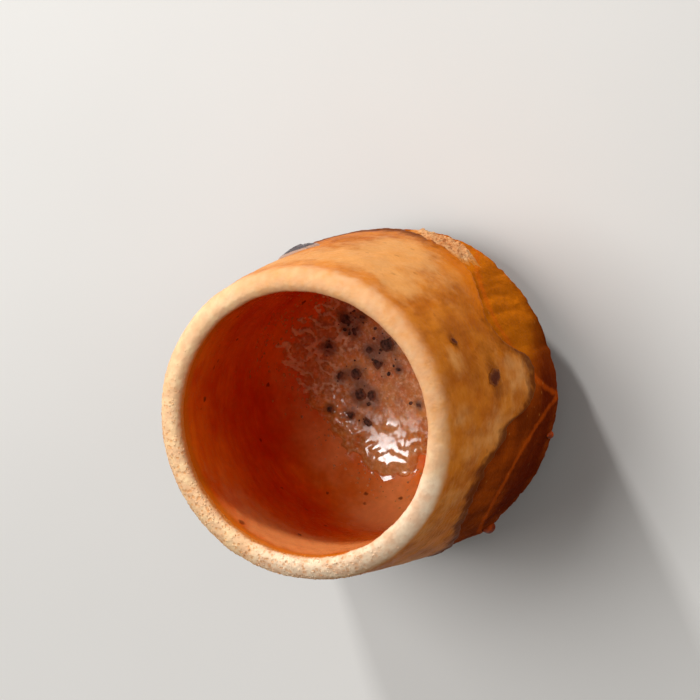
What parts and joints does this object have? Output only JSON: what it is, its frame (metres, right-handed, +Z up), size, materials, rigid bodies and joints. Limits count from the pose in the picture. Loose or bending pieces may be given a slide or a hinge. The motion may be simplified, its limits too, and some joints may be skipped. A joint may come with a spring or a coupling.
{
  "type": "guinomi sake cup",
  "caption": "Small footed stoneware sake cup with a thick rounded lip, knife-cut lower wall, ragged honey glaze and melted kiln ash.",
  "frame": {"origin": "on the cup's axis, at the table under the foot ring", "axes": "+Z up along the cup's axis; -Y is the front of the wall, which the picture's camera sees past the lip; +X is to its right"},
  "size_m": [0.062, 0.0612, 0.057],
  "materials": {
    "clay": "bare reddish-brown stoneware, flashed orange at the ridges",
    "outer_glaze": "mottled honey glaze, cream and pitted at the lip",
    "liner_glaze": "glossy orange-red liner",
    "ash_glass": "melted ash, pink-grey and glassy",
    "iron": "dark iron bleed",
    "crust": "pale half-melted ash crust",
    "bead": "glassy amber bead",
    "blister": "grey-black glassy blister"
  },
  "bodies": {
    "root": {"clay_cup": "clay", "foot_ring": "clay", "outer_glaze": "outer_glaze", "inner_glaze": "liner_glaze", "ash_pool": "ash_glass", "iron_spots": "iron", "ash_crust": "crust", "glaze_beads": "bead", "ash_blister": "blister"}
  },
  "joints": []
}
